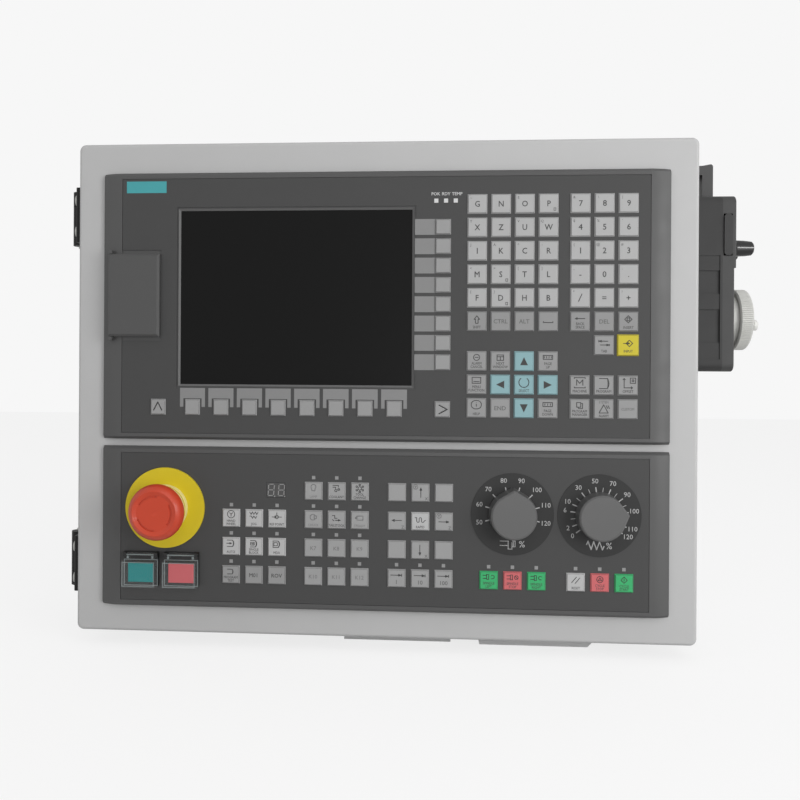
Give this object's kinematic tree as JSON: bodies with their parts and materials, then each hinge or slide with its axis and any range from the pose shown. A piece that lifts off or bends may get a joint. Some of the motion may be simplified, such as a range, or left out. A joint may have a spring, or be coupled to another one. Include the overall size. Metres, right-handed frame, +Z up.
{
  "type": "cnc lathe control console",
  "caption": "Wall-hung sheet-metal control console with a screen, key panels, override dials, emergency stop, flip-guarded buttons and a hand pendant on its side.",
  "frame": {"origin": "centre of the four bolt holes on the underside of the support plate", "axes": "+X to the operator's right, +Y from the operator into the machine, +Z up"},
  "size_m": [0.5473, 0.188, 0.383],
  "materials": {
    "box_paint": "satin powder coat",
    "plate_paint": "satin powder coat",
    "seal_rubber": "matt",
    "hinge_metal": "black die cast",
    "fastener_steel": "plain",
    "lock_metal": "polished",
    "bezel_plastic": "fine grain",
    "foil": "matt foil",
    "screen_glass": "anti-glare",
    "screen_dark": "dark when off",
    "case_steel": "zinc plated sheet",
    "clamp_metal": "plain",
    "port_plastic": "fine grain",
    "flap_plastic": "fine grain",
    "lamp_lens": "unlit",
    "status_lens": "unlit",
    "digit_window": "matt foil over the digits",
    "stop_yellow": "satin",
    "stop_red": "satin",
    "black_plastic": "satin",
    "shaft_metal": "turned",
    "cap_green": "translucent",
    "cap_red": "translucent",
    "clear_plastic": "clear",
    "dial_plate": "matt",
    "knob_plastic": "satin",
    "pendant_plastic": "fine grain",
    "hook_paint": "dark powder coat",
    "wheel_metal": "satin",
    "crank_plastic": "satin",
    "enable_rubber": "matt"
  },
  "bodies": {
    "box": {"rear_housing": "box_paint", "support_plate": "plate_paint", "cable_grommet": "seal_rubber", "door_seal": "seal_rubber", "lower_hinge_frame_leaf": "hinge_metal", "upper_hinge_frame_leaf": "hinge_metal", "hinge_pins": "fastener_steel", "hinge_frame_screws": "fastener_steel", "lock_barrel": "lock_metal", "pendant_holder": "hook_paint", "holder_screws": "fastener_steel", "pendant_rear_shell": "pendant_plastic", "pendant_front_shell": "pendant_plastic", "pendant_hook": "hook_paint", "pendant_screws": "fastener_steel", "pendant_inlet": "seal_rubber", "handwheel_dial": "black_plastic"},
    "door": {"front_door": "box_paint", "lower_hinge_door_leaf": "hinge_metal", "upper_hinge_door_leaf": "hinge_metal", "hinge_door_screws": "fastener_steel", "upper_bezel": "bezel_plastic", "upper_keypad": "foil", "screen_glass": "screen_glass", "display_module": "screen_dark", "upper_case": "case_steel", "unit_clamps": "clamp_metal", "port_block": "port_plastic", "status_lamps": "status_lens", "lower_bezel": "bezel_plastic", "lower_keypad": "foil", "lower_case": "case_steel", "key_lamps": "lamp_lens", "number_display": "digit_window", "stop_disc": "stop_yellow", "stop_block": "black_plastic", "green_button_frame": "black_plastic", "red_button_frame": "black_plastic", "spindle_dial": "dial_plate", "feed_dial": "dial_plate", "spindle_switch": "black_plastic", "feed_switch": "black_plastic"},
    "port_flap": {"port_flap": "flap_plastic"},
    "lock_cam": {"lock_cam": "fastener_steel"},
    "stop_stem": {"stop_stem": "shaft_metal"},
    "stop_head": {"stop_head": "stop_red"},
    "green_button_cap": {"green_button_cap": "cap_green"},
    "red_button_cap": {"red_button_cap": "cap_red"},
    "green_button_guard": {"green_button_guard": "clear_plastic"},
    "red_button_guard": {"red_button_guard": "clear_plastic"},
    "spindle_override": {"spindle_knob": "knob_plastic", "spindle_shaft": "shaft_metal"},
    "feed_override": {"feed_knob": "knob_plastic", "feed_shaft": "shaft_metal"},
    "axis_selector": {"axis_selector": "black_plastic"},
    "rate_selector": {"rate_selector": "black_plastic"},
    "handwheel": {"handwheel": "wheel_metal", "handwheel_shaft": "shaft_metal"},
    "crank_knob": {"crank_knob": "crank_plastic"},
    "enable_button": {"enable_button": "enable_rubber"}
  },
  "joints": [
    {"name": "door_hinge", "type": "hinge", "parent": "box", "child": "door", "pos_m": [-0.239, -0.063, 0.197], "axis": [0, 0, -1], "range_deg": [0, 110]},
    {"name": "port_flap_hinge", "type": "hinge", "parent": "door", "child": "port_flap", "pos_m": [-0.2031, -0.09775, 0.2664], "axis": [0, 0, -1], "range_deg": [0, 95]},
    {"name": "lock_turn", "type": "hinge", "parent": "box", "child": "lock_cam", "pos_m": [0.219, -0.048, 0.132], "axis": [-1, 0, 0], "range_deg": [0, 90]},
    {"name": "stop_push", "type": "slide", "parent": "door", "child": "stop_stem", "axis": [0, 1, 0], "range_m": [0, 0.005]},
    {"name": "stop_twist", "type": "hinge", "parent": "stop_stem", "child": "stop_head", "pos_m": [-0.1608, -0.111, 0.1074], "axis": [0, 1, 0], "range_deg": [0, 45], "stiffness_Nm_per_rad": 0.08},
    {"name": "green_button_push", "type": "slide", "parent": "door", "child": "green_button_cap", "axis": [0, 1, 0], "range_m": [0, 0.0035], "stiffness_N_per_m": 300},
    {"name": "green_guard_hinge", "type": "hinge", "parent": "door", "child": "green_button_guard", "pos_m": [-0.1782, -0.1008, 0.0728], "axis": [-1, 0, 0], "range_deg": [0, 100]},
    {"name": "red_button_push", "type": "slide", "parent": "door", "child": "red_button_cap", "axis": [0, 1, 0], "range_m": [0, 0.0035], "stiffness_N_per_m": 300},
    {"name": "red_guard_hinge", "type": "hinge", "parent": "door", "child": "red_button_guard", "pos_m": [-0.1476, -0.1008, 0.0728], "axis": [-1, 0, 0], "range_deg": [0, 100]},
    {"name": "spindle_override_turn", "type": "hinge", "parent": "door", "child": "spindle_override", "pos_m": [0.097, -0.096, 0.1068], "axis": [0, 1, 0], "range_deg": [-105, 105]},
    {"name": "feed_override_turn", "type": "hinge", "parent": "door", "child": "feed_override", "pos_m": [0.1594, -0.096, 0.1068], "axis": [0, 1, 0], "range_deg": [-210, 45]},
    {"name": "axis_selector_turn", "type": "hinge", "parent": "box", "child": "axis_selector", "pos_m": [0.2778, -0.01, 0.3112], "axis": [1, 0, 0], "range_deg": [-60, 60]},
    {"name": "rate_selector_turn", "type": "hinge", "parent": "box", "child": "rate_selector", "pos_m": [0.2778, 0.026, 0.3112], "axis": [1, 0, 0], "range_deg": [-45, 45]},
    {"name": "handwheel_turn", "type": "hinge", "parent": "box", "child": "handwheel", "pos_m": [0.2764, 0.008, 0.2542], "axis": [1, 0, 0], "continuous": true},
    {"name": "crank_knob_turn", "type": "hinge", "parent": "handwheel", "child": "crank_knob", "pos_m": [0.2973, -0.00821, 0.24909], "axis": [1, 0, 0], "continuous": true},
    {"name": "enable_push", "type": "slide", "parent": "box", "child": "enable_button", "axis": [0, 1, 0], "range_m": [0, 0.0012], "stiffness_N_per_m": 250}
  ]
}
